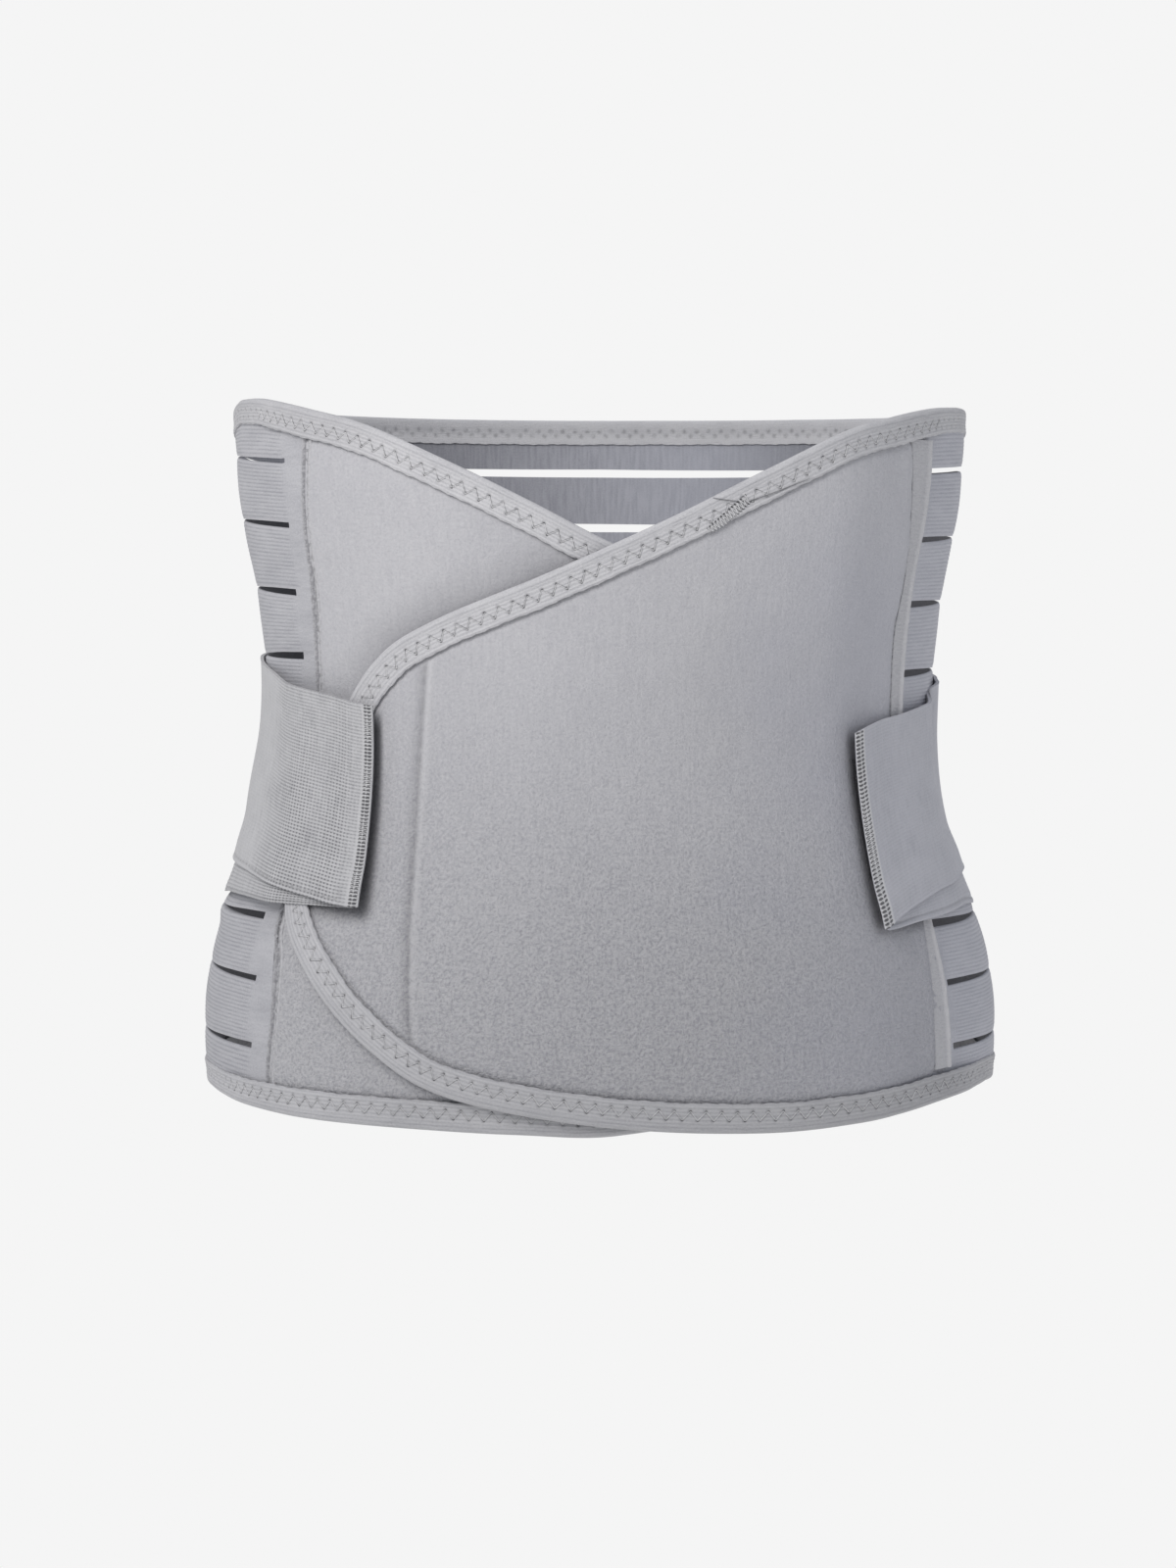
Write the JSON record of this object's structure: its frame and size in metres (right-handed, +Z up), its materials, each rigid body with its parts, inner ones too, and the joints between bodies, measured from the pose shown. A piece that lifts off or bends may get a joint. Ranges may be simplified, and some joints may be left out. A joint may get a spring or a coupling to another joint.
{
  "type": "abdominal binder",
  "caption": "Wrap-around abdominal binder with a slotted elastic back, overlapping plush front flaps, taped edges and two wide elastic pull straps.",
  "frame": {"origin": "middle of the wearer's waist, on the axis of the body that fills the binder", "axes": "+Z up along the body, the front faces -Y, +X to the right of a person who looks at the front"},
  "size_m": [0.3277, 0.2419, 0.278],
  "materials": {
    "plush": "brushed loop plush, matt, with a short nap",
    "elastic": "ribbed woven elastic, matt",
    "edge_tape": "folded ribbed tape with zigzag stitching",
    "strap": "fine ribbed elastic webbing, matt",
    "hook": "moulded hook fastener tape"
  },
  "bodies": {
    "root": {"back_elastic": "elastic", "under_flap": "plush", "over_flap": "plush", "edge_binding": "edge_tape", "side_seam_left": "edge_tape", "side_seam_right": "edge_tape", "strap_left": "strap", "strap_right": "strap", "strap_fold_left": "strap", "strap_fold_right": "strap", "hook_tab_left": "hook", "hook_tab_right": "hook", "hook_tab_front": "hook"}
  },
  "joints": []
}
